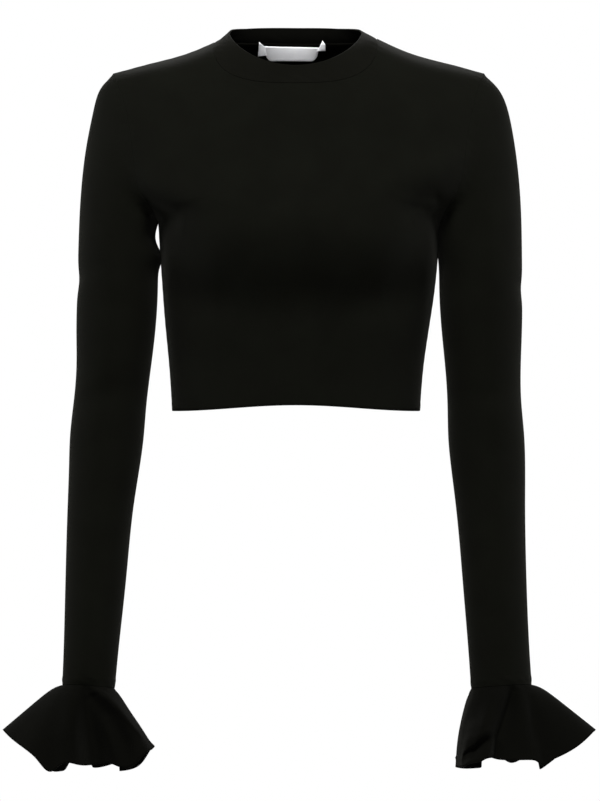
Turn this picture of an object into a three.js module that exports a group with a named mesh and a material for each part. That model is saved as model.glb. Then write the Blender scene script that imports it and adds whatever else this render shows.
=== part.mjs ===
import * as THREE from 'three';

// A fitted black knit crop top with a crew neck, long set-in sleeves and a circular-cut frill
// at each wrist, in the hollow form that it takes when it is worn.
// Millimetres, +Z up. The front faces -Y and +X is the wearer's left. The origin is on the
// centre line, level with the ends of the shoulder seams at the neck.

// Driving dimensions
const CLOTH = 1.8; // wall of the fine-gauge knit
const BAND_CLOTH = 2.4; // wall of the doubled neckband
const LABEL_CLOTH = 1.0; // wall of the satin label
const SEAM_GAP = 0.3; // gap between two pieces that are sewn together
const SEAM_HALF = SEAM_GAP / 2;

const SHOULDER_TIP = 183; // half the width between the shoulder tips
const SIDE_TOP = -182; // height of the underarm, where the side seam ends
const HEM = -370; // height of the hem at the side seams
const HEM_ARCH = 6; // how far the hem rises at the centre front and the centre back
const NECK_CENTRE = -3.5; // the worn neckline sits a little to the wearer's right
const NECK_HALF = 82; // half the width of the neckline seam
const NECK_SQUARENESS = 3; // how square the neckline is: 2 is an ellipse
const FRONT_NECK = -49; // height of the neckline seam at the centre front
const BACK_NECK = 1; // height of the neckline seam at the centre back
const BAND_HALF = 67; // half the width of the neckband's top edge
const BAND_FRONT = { out: 57, z: -31, bend: 1.3 }; // the top edge at the centre front
const BAND_BACK = { out: 46, z: 17.5, bend: 0.6 }; // the top edge at the centre back
const BAND_SIDE = 9; // height of the top edge at the shoulders
const WRIST_BAND = 8; // width of the raised band at the sleeve's end
const WRIST_RISE = 0.8; // how far that band stands out
const ARM_START = -225; // height where the sleeve's head ends and its tube begins

// How round the sections are
const BODY_ROUNDNESS = 2.3;
const TOP_ROUNDNESS = 2.2;

// How many steps each piece has
const SHOULDER_STEPS = 5;
const NECK_STEPS = 14;
const SIDE_STEPS = 8;
const ARMHOLE_STEPS = 11;
const HEAD_STEPS = 6;
const TUBE_STEPS = 12;
const FRILL_STEPS = 64;

// The body's sections: half width, how far the front and the back stand off the side seams,
// and how far the section lies to one side. Above the underarm the half width runs on past
// the armhole.
const BODY = [
  { z: -370, half: 124, front: 88, back: 80, shift: -3 },
  { z: -330, half: 126.5, front: 91, back: 83, shift: -3 },
  { z: -284, half: 131.5, front: 98, back: 88, shift: -2.5 },
  { z: -236, half: 137, front: 108, back: 96, shift: -0.5 },
  { z: -200, half: 140, front: 112, back: 101, shift: 0 },
  { z: -182, half: 141, front: 110, back: 104, shift: 0 },
  { z: -165, half: 165, front: 106, back: 105, shift: 0 },
  { z: -140, half: 184, front: 97, back: 106, shift: 0 },
  { z: -100, half: 196, front: 84, back: 103, shift: 0 },
  { z: -60, half: 205, front: 74, back: 95, shift: 0 },
  { z: -30, half: 208, front: 67, back: 83, shift: 0 },
  { z: 0, half: 209, front: 61, back: 68, shift: 0 },
  { z: 20, half: 209, front: 57, back: 58, shift: 0 },
];

// The shoulder line. Nearer the middle than the neckline it only shapes the neck opening.
const SHOULDER = [
  { x: 0, z: 40 },
  { x: 50, z: 20 },
  { x: 70, z: 8 },
  { x: 80, z: 1 },
  { x: 99, z: -8 },
  { x: 113, z: -14 },
  { x: 137, z: -20 },
  { x: 161, z: -26 },
  { x: 183, z: -33 },
  { x: 205, z: -42 },
];

// The armhole seam, seen from the front
const ARMHOLE = [
  { z: -182, x: 141 },
  { z: -172, x: 149 },
  { z: -158, x: 156 },
  { z: -140, x: 161 },
  { z: -120, x: 163 },
  { z: -90, x: 167 },
  { z: -62, x: 173 },
  { z: -47, x: 177 },
  { z: -33, x: 183 },
];

// The panels: which way each faces, and the height where it starts to turn to the shoulder
const FRONT = { way: -1, depth: 'front', turn: -150, neck: FRONT_NECK };
const BACK = { way: 1, depth: 'back', turn: -130, neck: BACK_NECK };

// The sleeve head, from the shoulder tip (0) to the underarm (1): how long the cloth keeps
// the way it leaves the armhole and enters the tube, and how much it sinks and leans there.
const HEAD = [
  { at: 0, start: 30, finish: 118, sag: 0.3, lean: 0 },
  { at: 0.25, start: 27, finish: 84, sag: 0.5, lean: 0 },
  { at: 0.5, start: 24, finish: 58, sag: 0.8, lean: 0 },
  { at: 0.75, start: 19, finish: 44, sag: 0.7, lean: 1 },
  { at: 0.9, start: 13, finish: 34, sag: 0.35, lean: 4 },
  { at: 1, start: 10, finish: 30, sag: 0, lean: 6.5 },
];

// The sleeves' tubes: outer and inner side from the centre line, depth from front to back,
// and the middle of that depth. The elbow's folds show as the step near -380.
const ARM_RIGHT = [
  { z: -643.5, outer: 234.5, inner: 183, deep: 58, y: -25 },
  { z: -620, outer: 233.5, inner: 181, deep: 61, y: -22 },
  { z: -584, outer: 233, inner: 177.5, deep: 66, y: -17 },
  { z: -548, outer: 232.5, inner: 173.5, deep: 70, y: -12 },
  { z: -512, outer: 232, inner: 170.5, deep: 73, y: -7 },
  { z: -476, outer: 231.5, inner: 167.5, deep: 77, y: -2 },
  { z: -440, outer: 230, inner: 162.5, deep: 80, y: 2 },
  { z: -404, outer: 230, inner: 156, deep: 84, y: 5 },
  { z: -380, outer: 228.5, inner: 154.5, deep: 86, y: 5 },
  { z: -356, outer: 224, inner: 153, deep: 86, y: 5 },
  { z: -332, outer: 222, inner: 149.5, deep: 89, y: 4 },
  { z: -296, outer: 223, inner: 144.5, deep: 93, y: 3 },
  { z: -260, outer: 222, inner: 141.5, deep: 96, y: 2 },
  { z: -225, outer: 221, inner: 141, deep: 98, y: 2 },
  { z: -200, outer: 220, inner: 141.5, deep: 99, y: 2 },
];
const ARM_LEFT = [
  { z: -643.5, outer: 230.5, inner: 171, deep: 58, y: -25 },
  { z: -620, outer: 229, inner: 169.5, deep: 61, y: -22 },
  { z: -584, outer: 227.5, inner: 167, deep: 66, y: -17 },
  { z: -548, outer: 226.5, inner: 164, deep: 70, y: -12 },
  { z: -512, outer: 226, inner: 161.5, deep: 73, y: -7 },
  { z: -476, outer: 225.5, inner: 158.5, deep: 77, y: -2 },
  { z: -440, outer: 226.5, inner: 154.5, deep: 80, y: 2 },
  { z: -404, outer: 226.5, inner: 149.5, deep: 84, y: 5 },
  { z: -380, outer: 223.5, inner: 148.5, deep: 86, y: 5 },
  { z: -356, outer: 221.5, inner: 149.5, deep: 86, y: 5 },
  { z: -332, outer: 221.5, inner: 147.5, deep: 89, y: 4 },
  { z: -296, outer: 223, inner: 143.5, deep: 93, y: 3 },
  { z: -260, outer: 223.5, inner: 140.5, deep: 96, y: 2 },
  { z: -225, outer: 223, inner: 140.3, deep: 98, y: 2 },
  { z: -200, outer: 222, inner: 141, deep: 99, y: 2 },
];

// The frills' folds round the wrist: 0 is the side away from the body, 90 the front and 180
// the side near the body. spread is how far the cloth swings out from the arm's line, and
// lean how far a fold sweeps sideways round the wrist, in degrees; drop is the cloth's length.
const FOLDS_RIGHT = [
  { at: 10, spread: 46, lean: 0, drop: 74 },
  { at: 35, spread: 36, lean: 0, drop: 78 },
  { at: 58, spread: 27, lean: 0, drop: 84 },
  { at: 76, spread: 22, lean: 2, drop: 82 },
  { at: 90, spread: 2, lean: 12, drop: 80 },
  { at: 104, spread: 30, lean: 40, drop: 78 },
  { at: 130, spread: 36, lean: 24, drop: 77 },
  { at: 155, spread: 35, lean: 6, drop: 77 },
  { at: 180, spread: 19, lean: 0, drop: 81 },
  { at: 205, spread: 7, lean: 0, drop: 82 },
  { at: 230, spread: 34, lean: 0, drop: 80 },
  { at: 256, spread: 4, lean: 0, drop: 80 },
  { at: 276, spread: 32, lean: 0, drop: 79 },
  { at: 299, spread: 10, lean: 0, drop: 86 },
  { at: 317, spread: 11, lean: 0, drop: 88 },
  { at: 327, spread: 28, lean: 0, drop: 76 },
  { at: 340, spread: 42, lean: 0, drop: 73 },
];
const FOLDS_LEFT = [
  { at: 12, spread: 48, lean: 0, drop: 78 },
  { at: 35, spread: 30, lean: 0, drop: 81 },
  { at: 50, spread: 16, lean: 0, drop: 81 },
  { at: 62, spread: 18, lean: 6, drop: 79 },
  { at: 75, spread: 4, lean: 22, drop: 76 },
  { at: 95, spread: 26, lean: 24, drop: 76 },
  { at: 120, spread: 21, lean: 14, drop: 77 },
  { at: 150, spread: 14, lean: 3, drop: 80 },
  { at: 180, spread: 12, lean: 0, drop: 79 },
  { at: 213, spread: 9, lean: 0, drop: 80 },
  { at: 238, spread: 9, lean: 0, drop: 80 },
  { at: 260, spread: 36, lean: 0, drop: 78 },
  { at: 281, spread: 8, lean: 0, drop: 77 },
  { at: 300, spread: 32, lean: 0, drop: 78 },
  { at: 320, spread: 8, lean: 0, drop: 86 },
  { at: 331, spread: 27, lean: 0, drop: 78 },
  { at: 344, spread: 43, lean: 0, drop: 77 },
];
const FRILL_ROWS = [0, 0.04, 0.11, 0.22, 0.38, 0.57, 0.78, 1]; // where each ring lies
const FRILL_SEAM_SPREAD = 12; // spread at the seam in the folds' valleys
const FRILL_SEAM_TURN = 1.4; // and how much a crest adds to it

const LABEL = { x: -7, half: 34, top: 2.5, bottom: 19, bow: 4, columns: 12, rows: 3 };

const KNIT = { color: '#121210', roughness: 0.92, metalness: 0 };
const SATIN = { color: '#eeeeec', roughness: 0.45, metalness: 0 };

// Helpers for tables and curves

function clamp(value, low, high) {
  return Math.min(Math.max(value, low), high);
}

// The smooth value of a column between a table's rows, with no overshoot
function lookup(table, key, column, at) {
  const last = table.length - 1;
  const place = clamp(at, table[0][key], table[last][key]);
  let i = 0;
  while (i < last - 1 && table[i + 1][key] <= place) i += 1;
  const slope = (k) => {
    const row = clamp(k, 0, last - 1);
    const rise = table[row + 1][column] - table[row][column];
    return rise / (table[row + 1][key] - table[row][key]);
  };
  const tangent = (k) => {
    const before = slope(k - 1);
    const after = slope(k);
    return before * after > 0 ? (2 * before * after) / (before + after) : 0;
  };
  const width = table[i + 1][key] - table[i][key];
  const t = (place - table[i][key]) / width;
  const t2 = t * t;
  const t3 = t2 * t;
  return (2 * t3 - 3 * t2 + 1) * table[i][column]
    + (t3 - 2 * t2 + t) * width * tangent(i)
    + (3 * t2 - 2 * t3) * table[i + 1][column]
    + (t3 - t2) * width * tangent(i + 1);
}

// Points at even distances along a curve, which is given as a function of 0 to 1
function spread(curve, steps) {
  const fine = 400;
  const points = [];
  const lengths = [0];
  for (let i = 0; i <= fine; i += 1) {
    points.push(curve(i / fine));
    if (i > 0) lengths.push(lengths[i - 1] + points[i].distanceTo(points[i - 1]));
  }
  const result = [];
  let k = 0;
  for (let i = 0; i <= steps; i += 1) {
    const goal = (lengths[fine] * i) / steps;
    while (k < fine - 1 && lengths[k + 1] < goal) k += 1;
    const share = (goal - lengths[k]) / (lengths[k + 1] - lengths[k]);
    result.push(curve((k + clamp(share, 0, 1)) / fine));
  }
  return result;
}

// The body's surface

// How far the surface stands off the plane of the side and shoulder seams
function standOff(panel, x, z) {
  const middle = lookup(BODY, 'z', 'shift', z);
  const across = clamp(Math.abs(x - middle) / lookup(BODY, 'z', 'half', z), 0, 1);
  const section = (1 - across ** BODY_ROUNDNESS) ** (1 / BODY_ROUNDNESS);
  const top = lookup(SHOULDER, 'x', 'z', Math.abs(x));
  const rise = clamp((z - panel.turn) / (top - panel.turn), 0, 1);
  const turn = (1 - rise ** TOP_ROUNDNESS) ** (1 / TOP_ROUNDNESS);
  return lookup(BODY, 'z', panel.depth, z) * section * turn;
}

function surfacePoint(panel, x, z) {
  const off = Math.max(standOff(panel, x, z), SEAM_HALF);
  return new THREE.Vector3(x, panel.way * off, z);
}

// The way out of the surface at a point
function surfaceNormal(panel, x, z) {
  const step = 0.8;
  const alongX = standOff(panel, x + step, z) - standOff(panel, x - step, z);
  const alongZ = standOff(panel, x, z + step) - standOff(panel, x, z - step);
  return new THREE.Vector3(-alongX, 2 * step * panel.way, -alongZ).normalize();
}

// Edges of the panels, for the wearer's left; each vertex has a place and a wall direction

// A direction square to the line between two points of the seam plane, on its outer side
function squareTo(x0, z0, x1, z1) {
  return new THREE.Vector3(z1 - z0, 0, x0 - x1).normalize();
}

// The side seam from the hem to the underarm; side is 1 for the wearer's left, and the right
// one is given mirrored, as all seams here are
function sideSeam(panel, side) {
  const reach = (z) => lookup(BODY, 'z', 'half', z) + side * lookup(BODY, 'z', 'shift', z);
  const points = [];
  for (let i = 0; i <= SIDE_STEPS; i += 1) {
    const z = HEM + ((SIDE_TOP - HEM) * i) / SIDE_STEPS;
    const below = Math.max(z - 8, HEM);
    const above = Math.min(z + 8, SIDE_TOP);
    const n = squareTo(reach(below), below, reach(above), above);
    points.push({ p: new THREE.Vector3(reach(z), panel.way * SEAM_HALF, z), n });
  }
  return points;
}

function armhole(panel) {
  const top = ARMHOLE[ARMHOLE.length - 1].z;
  const curve = (t) => {
    const z = SIDE_TOP + (top - SIDE_TOP) * (1 - Math.cos(Math.PI * t)) / 2;
    return surfacePoint(panel, lookup(ARMHOLE, 'z', 'x', z), z);
  };
  return spread(curve, ARMHOLE_STEPS).map((p) => ({ p, n: surfaceNormal(panel, p.x, p.z) }));
}

function shoulderPoint(x) {
  return new THREE.Vector3(x, 0, lookup(SHOULDER, 'x', 'z', Math.abs(x)));
}

// The shoulder seam from the tip to the neck; side is 1 for the wearer's left
function shoulderSeam(panel, side) {
  const neck = NECK_CENTRE * side + NECK_HALF;
  const points = [];
  for (let i = 0; i <= SHOULDER_STEPS; i += 1) {
    const x = SHOULDER_TIP + ((neck - SHOULDER_TIP) * i) / SHOULDER_STEPS;
    const low = shoulderPoint(x + 6);
    const high = shoulderPoint(x - 6);
    const n = squareTo(low.x, low.z, high.x, high.z);
    const p = shoulderPoint(x);
    p.y = panel.way * SEAM_HALF;
    points.push({ p, n });
  }
  return points;
}

// The neckline seam from the wearer's right to the left
function neckline(panel) {
  const power = 2 / NECK_SQUARENESS;
  const curve = (t) => {
    const angle = Math.PI * t;
    const swing = -Math.cos(angle);
    const x = NECK_CENTRE + NECK_HALF * Math.sign(swing) * Math.abs(swing) ** power;
    const end = shoulderPoint(NECK_CENTRE + NECK_HALF * Math.sign(swing || 1)).z;
    const level = Math.max(Math.sin(angle), 0) ** power;
    const z = end + (panel.neck - end) * level;
    return surfacePoint(panel, x, z);
  };
  return spread(curve, NECK_STEPS).map((p) => ({ p, n: surfaceNormal(panel, p.x, p.z) }));
}

function mirrored(vertex) {
  const flip = (v) => new THREE.Vector3(-v.x, v.y, v.z);
  return { p: flip(vertex.p), n: flip(vertex.n) };
}

// Grids and walls

function vertexNormal(grid, r, c, wrap) {
  const rows = grid.length;
  const columns = grid[0].length;
  const column = (k) => (wrap ? (k + columns) % columns : clamp(k, 0, columns - 1));
  const across = grid[r][column(c + 1)].p.clone().sub(grid[r][column(c - 1)].p);
  const along = grid[Math.min(r + 1, rows - 1)][c].p.clone().sub(grid[Math.max(r - 1, 0)][c].p);
  return across.cross(along).normalize();
}

// A closed wall under a grid of outer points. Each point may bring its own wall direction.
function wall(name, grid, look, thickness, wrap) {
  const rows = grid.length;
  const columns = grid[0].length;
  const positions = [];
  const inner = [];
  for (let r = 0; r < rows; r += 1) {
    for (let c = 0; c < columns; c += 1) {
      const { p } = grid[r][c];
      const n = grid[r][c].n || vertexNormal(grid, r, c, wrap);
      const depth = thickness + (grid[r][c].rise || 0);
      const base = p.clone().addScaledVector(n, grid[r][c].rise || 0);
      positions.push(base.x, base.y, base.z);
      inner.push(base.clone().addScaledVector(n, -depth));
    }
  }
  inner.forEach((p) => positions.push(p.x, p.y, p.z));
  const count = rows * columns;
  const faces = [];
  const at = (i) => new THREE.Vector3().fromArray(positions, 3 * i);
  const across = (a, b, c, d) => at(b).distanceTo(at(d)) < at(a).distanceTo(at(c));
  const quad = (a, b, c, d, other) => {
    if (other) faces.push(b, c, d, b, d, a);
    else faces.push(a, b, c, a, c, d);
  };
  const spans = wrap ? columns : columns - 1;
  // Each four-sided patch is split along its shorter diagonal, the same way inside and out
  for (let r = 0; r < rows - 1; r += 1) {
    for (let c = 0; c < spans; c += 1) {
      const a = r * columns + c;
      const b = r * columns + ((c + 1) % columns);
      const other = across(a, b, b + columns, a + columns);
      quad(a, b, b + columns, a + columns, other);
      quad(b + count, a + count, a + columns + count, b + columns + count, !other);
    }
  }
  const edge = (a, b, c, d) => quad(a, b, c, d, across(a, b, c, d));
  const foot = (rows - 1) * columns;
  for (let c = 0; c < spans; c += 1) {
    const next = (c + 1) % columns;
    edge(c, c + count, next + count, next);
    edge(foot + c, foot + next, foot + next + count, foot + c + count);
  }
  if (!wrap) {
    for (let r = 0; r < rows - 1; r += 1) {
      const a = r * columns;
      const b = a + columns - 1;
      edge(a, a + columns, a + columns + count, a + count);
      edge(b, b + count, b + columns + count, b + columns);
    }
  }
  const geometry = new THREE.BufferGeometry();
  geometry.setAttribute('position', new THREE.Float32BufferAttribute(positions, 3));
  geometry.setIndex(faces);
  geometry.computeVertexNormals();
  const mesh = new THREE.Mesh(geometry, new THREE.MeshStandardMaterial(look));
  mesh.name = name;
  return mesh;
}

// Front and back

// The grid of a panel, from the hem up and from the wearer's right to the left. Its inside is
// blended from its four edges as seen from the front, and then laid on the body's surface.
function panelGrid(panel) {
  const sides = [-1, 1].map((side) => {
    const edge = [...sideSeam(panel, side), ...armhole(panel).slice(1)];
    edge[edge.length - 1] = shoulderSeam(panel, side)[0];
    return side < 0 ? edge.map(mirrored) : edge;
  });
  const [right, left] = sides;
  const top = [
    ...shoulderSeam(panel, -1).map(mirrored),
    ...neckline(panel).slice(1, -1),
    ...shoulderSeam(panel, 1).reverse(),
  ];
  const columns = top.length - 1;
  const rows = left.length - 1;
  const middle = (left[0].p.x + right[0].p.x) / 2;
  const half = (left[0].p.x - right[0].p.x) / 2;
  const hem = (u) => {
    const swing = Math.sin(Math.PI * (u - 0.5));
    const arch = HEM_ARCH * Math.cos((Math.PI * swing) / 2) ** 2;
    return new THREE.Vector3(middle + half * swing, 0, HEM + arch);
  };
  // How far an edge strays from the straight line between its ends
  const stray = (edge, r, v) => edge[r].p.clone()
    .addScaledVector(edge[0].p, v - 1).addScaledVector(edge[rows].p, -v);
  const grid = [];
  for (let r = 0; r <= rows; r += 1) {
    const v = r / rows;
    const row = [];
    for (let c = 0; c <= columns; c += 1) {
      const u = c / columns;
      if (r === rows) {
        row.push(top[c]);
      } else if (c === 0) {
        row.push(right[r]);
      } else if (c === columns) {
        row.push(left[r]);
      } else {
        const { x, z } = hem(u).multiplyScalar(1 - v).addScaledVector(top[c].p, v)
          .addScaledVector(stray(right, r, v), 1 - u).addScaledVector(stray(left, r, v), u);
        row.push({ p: surfacePoint(panel, x, z), n: surfaceNormal(panel, x, z) });
      }
    }
    grid.push(panel.way < 0 ? row : row.reverse());
  }
  return grid;
}

// Sleeves

// One ring of a sleeve's tube at a height, in its own plane square to the arm
function armRing(arm, z) {
  const centre = (height) => {
    const outer = lookup(arm, 'z', 'outer', height);
    const inner = lookup(arm, 'z', 'inner', height);
    return new THREE.Vector3((outer + inner) / 2, lookup(arm, 'z', 'y', height), height);
  };
  const reach = 30;
  const above = centre(Math.min(z + reach, ARM_START + reach));
  const below = centre(Math.max(z - reach, arm[0].z));
  const down = below.sub(above).normalize();
  const out = new THREE.Vector3(1, 0, 0).addScaledVector(down, -down.x).normalize();
  const front = down.clone().cross(out);
  return {
    centre: centre(z),
    down,
    out,
    front,
    half: (lookup(arm, 'z', 'outer', z) - lookup(arm, 'z', 'inner', z)) / 2,
    deep: lookup(arm, 'z', 'deep', z) / 2,
  };
}

// A point of that ring and the way out of it, both in the ring's plane
function ringVertex(ring, angle) {
  const cos = Math.cos(angle);
  const sin = Math.sin(angle);
  const p = ring.centre.clone();
  p.addScaledVector(ring.out, ring.half * cos);
  p.addScaledVector(ring.front, ring.deep * sin);
  const n = ring.out.clone().multiplyScalar(ring.deep * cos);
  n.addScaledVector(ring.front, ring.half * sin).normalize();
  return { p, n };
}

// The armhole as one loop: shoulder tip, down the front, underarm, up the back
function armholeLoop() {
  const join = (panelVertex) => {
    const p = panelVertex.p.clone();
    p.y = 0;
    return { p, n: panelVertex.n };
  };
  const front = armhole(FRONT);
  const back = armhole(BACK);
  const tip = join(shoulderSeam(FRONT, 1)[0]);
  const underarm = join(sideSeam(FRONT, 1)[SIDE_STEPS]);
  const loop = [tip];
  for (let i = ARMHOLE_STEPS - 1; i > 0; i -= 1) loop.push(front[i]);
  loop.push(underarm);
  for (let i = 1; i < ARMHOLE_STEPS; i += 1) loop.push(back[i]);
  return loop;
}

function bezier(a, b, c, d, t) {
  const s = 1 - t;
  return a.clone().multiplyScalar(s * s * s)
    .addScaledVector(b, 3 * s * s * t)
    .addScaledVector(c, 3 * s * t * t)
    .addScaledVector(d, t * t * t);
}

function sleeveGrid(arm, bulge) {
  const loop = armholeLoop();
  const around = loop.length;
  const armTop = armRing(arm, ARM_START);
  const grid = Array.from({ length: HEAD_STEPS }, () => []);
  const down = new THREE.Vector3(0, 0, -1);
  for (let c = 0; c < around; c += 1) {
    const { p, n } = loop[c];
    const turn = c / around;
    const at = 1 - Math.abs(1 - 2 * turn);
    const way = loop[(c + 1) % around].p.clone().sub(loop[(c + around - 1) % around].p);
    const away = n.clone().cross(way).normalize();
    const start = p.clone().addScaledVector(away, SEAM_GAP);
    const leave = away.clone().addScaledVector(down, lookup(HEAD, 'at', 'sag', at)).normalize();
    const first = start.clone().addScaledVector(leave, lookup(HEAD, 'at', 'start', at));
    const end = ringVertex(armTop, 2 * Math.PI * turn).p;
    const second = end.clone().addScaledVector(armTop.down, -lookup(HEAD, 'at', 'finish', at));
    const outside = Math.max(Math.cos(2 * Math.PI * turn), 0);
    first.x += bulge * outside;
    second.x += lookup(HEAD, 'at', 'lean', at) + bulge * outside;
    for (let r = 0; r < HEAD_STEPS; r += 1) {
      grid[r].push({ p: bezier(start, first, second, end, r / HEAD_STEPS) });
    }
    grid[0][c].n = n;
  }
  const wrist = arm[0].z;
  for (let r = 0; r <= TUBE_STEPS; r += 1) {
    const z = ARM_START + ((wrist + WRIST_BAND + 1.2 - ARM_START) * r) / TUBE_STEPS;
    grid.push(tubeRow(arm, z, around, 0));
  }
  grid.push(tubeRow(arm, wrist + WRIST_BAND, around, WRIST_RISE));
  grid.push(tubeRow(arm, wrist, around, WRIST_RISE));
  return grid;
}

function tubeRow(arm, z, around, rise) {
  const ring = armRing(arm, z);
  const row = [];
  for (let c = 0; c < around; c += 1) {
    row.push({ ...ringVertex(ring, (2 * Math.PI * c) / around), rise });
  }
  return row;
}

// Frills

function frillGrid(arm, folds) {
  const first = { ...folds[0], at: 360 };
  const last = { ...folds[folds.length - 1], at: folds[folds.length - 1].at - 360 };
  const table = [last, ...folds, first, { ...folds[1], at: folds[1].at + 360 }];
  const ring = armRing(arm, arm[0].z);
  ring.centre.addScaledVector(ring.down, SEAM_GAP);
  const grid = FRILL_ROWS.map(() => []);
  for (let c = 0; c < FRILL_STEPS; c += 1) {
    const degrees = (360 * c) / FRILL_STEPS;
    const { p, n } = ringVertex(ring, THREE.MathUtils.degToRad(degrees));
    const swing = lookup(table, 'at', 'spread', degrees);
    const drop = lookup(table, 'at', 'drop', degrees);
    const sweep = lookup(table, 'at', 'lean', degrees);
    const seam = Math.min(FRILL_SEAM_SPREAD + FRILL_SEAM_TURN * Math.max(swing, 0), 82);
    const round = ring.down.clone().cross(n);
    const place = p.clone();
    grid[0].push({ p: p.clone(), n });
    const fine = 4;
    for (let r = 1; r < FRILL_ROWS.length; r += 1) {
      const from = FRILL_ROWS[r - 1];
      const step = (FRILL_ROWS[r] - from) / fine;
      for (let k = 0; k < fine; k += 1) {
        const t = from + (k + 0.5) * step;
        const angle = THREE.MathUtils.degToRad(swing + (seam - swing) * (1 - t) ** 9);
        const aside = THREE.MathUtils.degToRad(sweep * (1 - (1 - t) ** 3));
        const way = ring.down.clone().multiplyScalar(Math.cos(angle));
        way.addScaledVector(n, Math.sin(angle)).addScaledVector(round, Math.tan(aside));
        place.addScaledVector(way.normalize(), drop * step);
      }
      grid[r].push({ p: place.clone() });
    }
  }
  return grid;
}

// The grids of sleeve and frill are made for the wearer's left; the right one is mirrored
function onSide(side, grid) {
  if (side > 0) return grid;
  return grid.map((row) => row.map((vertex) => {
    const p = new THREE.Vector3(-vertex.p.x, vertex.p.y, vertex.p.z);
    const n = vertex.n && new THREE.Vector3(-vertex.n.x, vertex.n.y, vertex.n.z);
    return { ...vertex, p, n };
  }).reverse());
}

// Neckband

function neckbandGrid() {
  const front = neckline(FRONT);
  const back = neckline(BACK);
  const rightEnd = mirrored(shoulderSeam(FRONT, -1)[SHOULDER_STEPS]);
  const leftEnd = shoulderSeam(FRONT, 1)[SHOULDER_STEPS];
  rightEnd.p.y = 0;
  leftEnd.p.y = 0;
  const low = [rightEnd, ...front.slice(1, -1), leftEnd, ...back.slice(1, -1).reverse()];
  const topEdge = (shape) => spread((t) => {
    const angle = Math.PI * t;
    const x = NECK_CENTRE - BAND_HALF * Math.cos(angle);
    const way = shape === BAND_FRONT ? -1 : 1;
    const level = Math.sin(angle) ** shape.bend;
    return new THREE.Vector3(
      x, way * shape.out * Math.sin(angle), BAND_SIDE + (shape.z - BAND_SIDE) * level);
  }, NECK_STEPS);
  const high = [...topEdge(BAND_FRONT).slice(0, -1), ...topEdge(BAND_BACK).slice(1).reverse()];
  const around = low.length;
  const rows = [[], [], [], []];
  const rise = (BAND_CLOTH - CLOTH) / 2;
  for (let c = 0; c < around; c += 1) {
    const { p, n } = low[c];
    const way = low[(c + 1) % around].p.clone().sub(low[(c + around - 1) % around].p);
    const away = n.clone().cross(way).normalize();
    const start = p.clone().addScaledVector(away, SEAM_GAP).addScaledVector(n, rise);
    const end = high[c];
    const knee = start.clone().addScaledVector(away, start.distanceTo(end) * 0.45);
    rows[0].push({ p: start, n });
    for (let r = 1; r < rows.length; r += 1) {
      const t = r / (rows.length - 1);
      const point = start.clone().multiplyScalar((1 - t) * (1 - t))
        .addScaledVector(knee, 2 * t * (1 - t))
        .addScaledVector(end, t * t);
      rows[r].push({ p: point });
    }
  }
  return rows;
}

// Label

// A place on a grid between its vertices, by fractions of its columns and rows
function between(grid, r, c) {
  const r0 = clamp(Math.floor(r), 0, grid.length - 2);
  const c0 = clamp(Math.floor(c), 0, grid[0].length - 2);
  const mix = (key) => {
    const low = grid[r0][c0][key].clone().lerp(grid[r0][c0 + 1][key], c - c0);
    const high = grid[r0 + 1][c0][key].clone().lerp(grid[r0 + 1][c0 + 1][key], c - c0);
    return low.lerp(high, r - r0);
  };
  return { p: mix('p'), n: mix('n').normalize() };
}

// The label lies on the inside of the back, just under the neckline
function labelGrid(back) {
  const top = back.length - 1;
  const columnAt = (x) => {
    let c = 0;
    while (back[top][c + 1].p.x > x) c += 1;
    const from = back[top][c].p.x;
    return c + (from - x) / (from - back[top][c + 1].p.x);
  };
  const rowAt = (c, below) => {
    const edge = between(back, top, c).p.z;
    let r = top;
    while (between(back, r, c).p.z > edge - below) r -= 0.02;
    return r;
  };
  const grid = [];
  for (let i = 0; i <= LABEL.rows; i += 1) {
    const below = LABEL.bottom + ((LABEL.top - LABEL.bottom) * i) / LABEL.rows;
    const row = [];
    for (let k = 0; k <= LABEL.columns; k += 1) {
      const along = (2 * k) / LABEL.columns - 1;
      const c = columnAt(LABEL.x + LABEL.half * along);
      const { p, n } = between(back, rowAt(c, below), c);
      const bow = LABEL.bow * (1 - along ** 4) * (1 - i / LABEL.rows * 0.6);
      row.push({ p: p.addScaledVector(n, -(CLOTH + SEAM_GAP + 0.2 + bow)) });
    }
    grid.push(row.reverse());
  }
  return grid;
}

// The garment

const group = new THREE.Group();
const backGrid = panelGrid(BACK);
group.add(wall('front', panelGrid(FRONT), KNIT, CLOTH, false));
group.add(wall('back', backGrid, KNIT, CLOTH, false));
group.add(wall('sleeve_right', onSide(-1, sleeveGrid(ARM_RIGHT, 1)), KNIT, CLOTH, true));
group.add(wall('sleeve_left', onSide(1, sleeveGrid(ARM_LEFT, 3)), KNIT, CLOTH, true));
group.add(wall('neckband', neckbandGrid(), KNIT, BAND_CLOTH, true));
group.add(wall('frill_right', onSide(-1, frillGrid(ARM_RIGHT, FOLDS_RIGHT)), KNIT, CLOTH, true));
group.add(wall('frill_left', onSide(1, frillGrid(ARM_LEFT, FOLDS_LEFT)), KNIT, CLOTH, true));
group.add(wall('neck_label', labelGrid(backGrid), SATIN, LABEL_CLOTH, false));

export default group;
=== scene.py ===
"""Fitted black knit crop top with a crew neck, long set-in sleeves and frilled wrists.

Each cloth piece is a thin shell on its CAD solid's outer face, with creases, seams and hems
pressed into it. Lengths in the tables are millimetres; +Z is up and the front faces -Y.
The wearer's left is +X.
"""

import math

import bmesh
import bpy
import numpy as np
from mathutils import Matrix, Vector
from mathutils.bvhtree import BVHTree
from mathutils.kdtree import KDTree


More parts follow.
